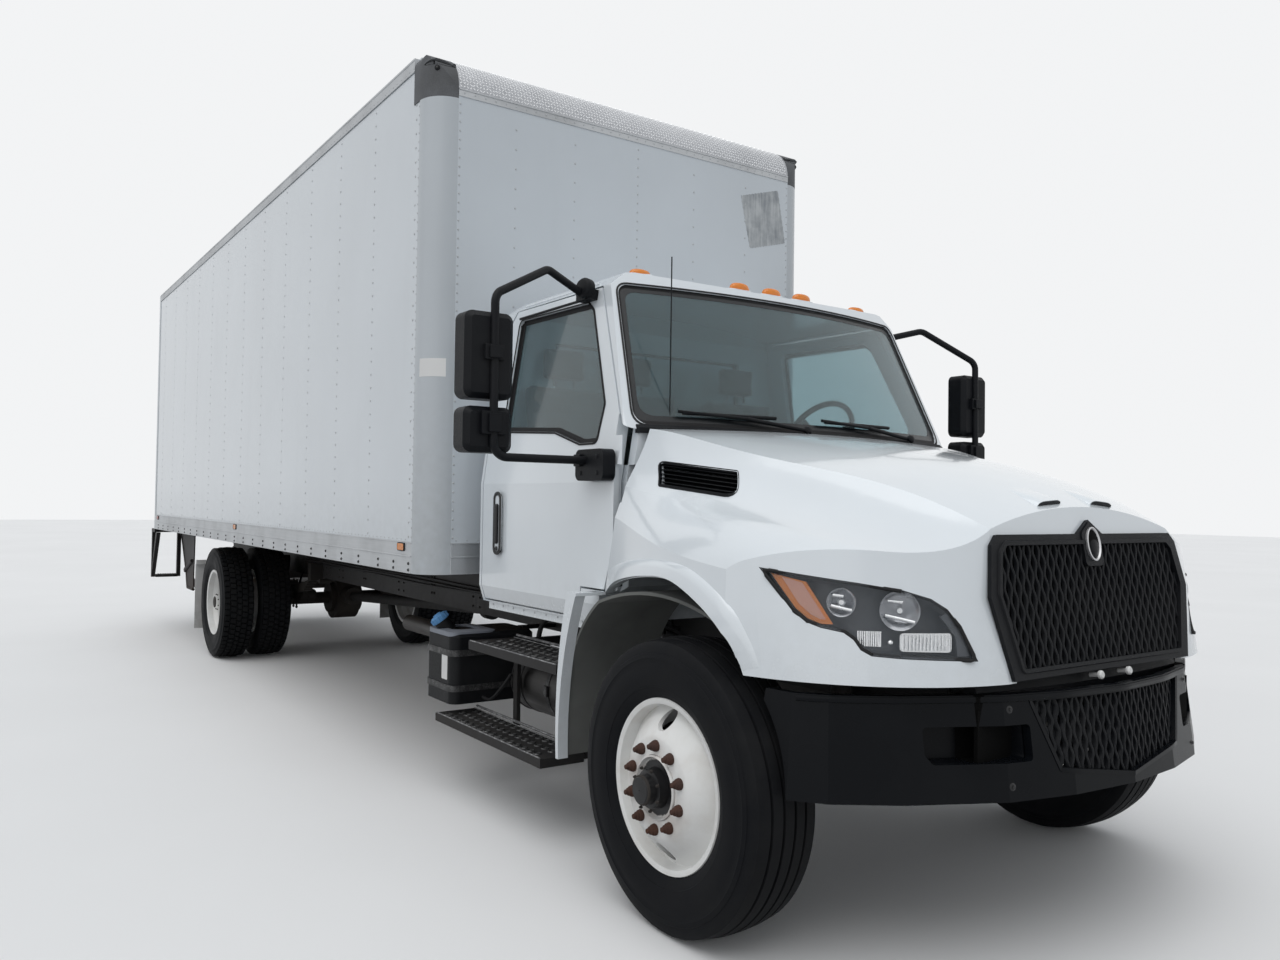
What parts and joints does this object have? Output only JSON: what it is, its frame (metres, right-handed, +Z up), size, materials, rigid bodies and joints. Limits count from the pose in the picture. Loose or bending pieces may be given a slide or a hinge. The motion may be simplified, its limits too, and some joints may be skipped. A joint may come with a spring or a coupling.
{
  "type": "box truck",
  "caption": "Conventional-cab box truck with a tilting hood, opening cab doors, steered front wheels, dual rear wheels, roll-up rear door and a folded lift gate under the tail.",
  "frame": {"origin": "middle of the overall box at ground level, under the tyres", "axes": "+X towards the front of the truck, +Y to its left, +Z up"},
  "size_m": [11.06, 3.236, 3.8197],
  "materials": {
    "frame_paint": "satin black paint",
    "axle_iron": "dusty black",
    "spring_steel": "dull black",
    "engine_block": "grey",
    "black_bumper": "semi-gloss black",
    "black_plastic": "grained black",
    "liner_plastic": "dusty grey",
    "cab_white": "gloss white",
    "tinted_glass": "green-tinted",
    "dash_grey": "soft grain",
    "seat_cloth": "woven grey",
    "amber_lens": "amber lens",
    "red_lens": "red lens",
    "lamp_lens": "clear lens",
    "aluminium": "mill finish",
    "tread_plate": "raised tread pattern",
    "panel_white": "gloss white skin",
    "post_grey": "light grey",
    "cast_grey": "sand cast",
    "deck_wood": "laminated boards",
    "door_panel": "white slats",
    "flap_white": "white rubber",
    "lift_black": "black paint, worn",
    "wheel_white": "white enamel",
    "tyre": "black rubber",
    "tank_black": "moulded black",
    "tank_aluminium": "brushed",
    "exhaust_steel": "heat-dulled"
  },
  "bodies": {
    "chassis": {"frame_rails": "frame_paint", "frame_crossmembers": "frame_paint", "front_axle": "axle_iron", "leaf_springs": "spring_steel", "rear_axle": "axle_iron", "driveshaft": "frame_paint", "engine": "engine_block", "front_bumper": "black_bumper", "bumper_grille": "black_plastic", "fender_liners": "liner_plastic", "fender_blades": "cab_white", "cab_shell": "cab_white", "cab_glass": "tinted_glass", "dashboard": "dash_grey", "seats": "seat_cloth", "wipers": "black_plastic", "roof_lamps": "amber_lens", "cab_steps": "frame_paint", "def_tank": "tank_black", "exhaust": "exhaust_steel", "air_tanks": "frame_paint", "fuel_tank": "tank_aluminium", "box_floor": "deck_wood", "box_front_wall": "panel_white", "box_corner_posts": "post_grey", "box_nose_rail": "tread_plate", "box_corner_caps": "cast_grey", "box_side_walls": "panel_white", "box_side_rails": "aluminium", "box_roof": "panel_white", "box_rear_frame": "post_grey", "rollup_door": "door_panel", "rear_lamps": "red_lens", "plate_bracket": "black_plastic", "rear_steps": "frame_paint", "mud_flaps": "flap_white", "liftgate_frame": "lift_black"},
    "hood_body": {"hood": "cab_white", "grille": "black_plastic", "headlamps": "lamp_lens"},
    "door_right_body": {"door_right": "cab_white", "door_glass_right": "tinted_glass", "mirror_right": "black_plastic"},
    "door_left_body": {"door_left": "cab_white", "door_glass_left": "tinted_glass", "mirror_left": "black_plastic"},
    "steering_wheel_body": {"steering_wheel": "black_plastic"},
    "knuckle_right_body": {"knuckle_right": "axle_iron"},
    "knuckle_left_body": {"knuckle_left": "axle_iron"},
    "tie_rod_body": {"tie_rod": "axle_iron"},
    "wheel_front_right_body": {"wheel_front_right": "wheel_white", "tyre_front_right": "tyre"},
    "wheel_front_left_body": {"wheel_front_left": "wheel_white", "tyre_front_left": "tyre"},
    "wheel_rear_right_body": {"wheels_rear_right": "wheel_white", "tyres_rear_right": "tyre"},
    "wheel_rear_left_body": {"wheels_rear_left": "wheel_white", "tyres_rear_left": "tyre"},
    "lift_arms_body": {"lift_arms": "lift_black"},
    "lift_platform_body": {"lift_platform": "lift_black"}
  },
  "joints": [
    {"name": "steer_right", "type": "hinge", "parent": "chassis", "child": "knuckle_right_body", "pos_m": [4.52, -0.95, 0.508], "axis": [0, 0, 1], "range_deg": [-40, 40]},
    {"name": "steer_left", "type": "hinge", "parent": "chassis", "child": "knuckle_left_body", "pos_m": [4.52, 0.95, 0.508], "axis": [0, 0, 1], "range_deg": [-40, 40]},
    {"name": "tie_rod_joint", "type": "hinge", "parent": "knuckle_right_body", "child": "tie_rod_body", "pos_m": [4.33, -0.95, 0.372], "axis": [0, 0, 1], "range_deg": [-40, 40]},
    {"name": "steering_wheel_turn", "type": "hinge", "parent": "chassis", "child": "steering_wheel_body", "pos_m": [3.485, 0.56, 1.832], "axis": [-0.8387, 0, 0.5446], "range_deg": [-720, 720]},
    {"name": "roll_front_right", "type": "hinge", "parent": "knuckle_right_body", "child": "wheel_front_right_body", "pos_m": [4.52, -1.077, 0.508], "axis": [0, 1, 0], "continuous": true},
    {"name": "roll_front_left", "type": "hinge", "parent": "knuckle_left_body", "child": "wheel_front_left_body", "pos_m": [4.52, 1.077, 0.508], "axis": [0, 1, 0], "continuous": true},
    {"name": "roll_rear_right", "type": "hinge", "parent": "chassis", "child": "wheel_rear_right_body", "pos_m": [-2.54, -0.927, 0.508], "axis": [0, 1, 0], "continuous": true},
    {"name": "roll_rear_left", "type": "hinge", "parent": "chassis", "child": "wheel_rear_left_body", "pos_m": [-2.54, 0.927, 0.508], "axis": [0, 1, 0], "continuous": true},
    {"name": "door_right_hinge", "type": "hinge", "parent": "chassis", "child": "door_right_body", "pos_m": [3.972, -1.02, 1.3], "axis": [0, 0, 1], "range_deg": [0, 70]},
    {"name": "door_left_hinge", "type": "hinge", "parent": "chassis", "child": "door_left_body", "pos_m": [3.972, 1.02, 1.3], "axis": [0, 0, -1], "range_deg": [0, 70]},
    {"name": "hood_tilt", "type": "hinge", "parent": "chassis", "child": "hood_body", "pos_m": [5.45, 0, 0.82], "axis": [0, 1, 0], "range_deg": [0, 60]},
    {"name": "lift_arm_pivot", "type": "hinge", "parent": "chassis", "child": "lift_arms_body", "pos_m": [-4.1, 0, 0.69], "axis": [0, -1, 0], "range_deg": [0, 22]},
    {"name": "lift_heel_pivot", "type": "hinge", "parent": "lift_arms_body", "child": "lift_platform_body", "pos_m": [-5.18, 0, 0.57], "axis": [0, -1, 0], "range_deg": [-22, 0]}
  ],
  "couplings": [
    {"joint": "steer_left", "follows": "steer_right", "ratio": 1},
    {"joint": "tie_rod_joint", "follows": "steer_right", "ratio": -1},
    {"joint": "steering_wheel_turn", "follows": "steer_right", "ratio": 18},
    {"joint": "lift_heel_pivot", "follows": "lift_arm_pivot", "ratio": -1}
  ]
}
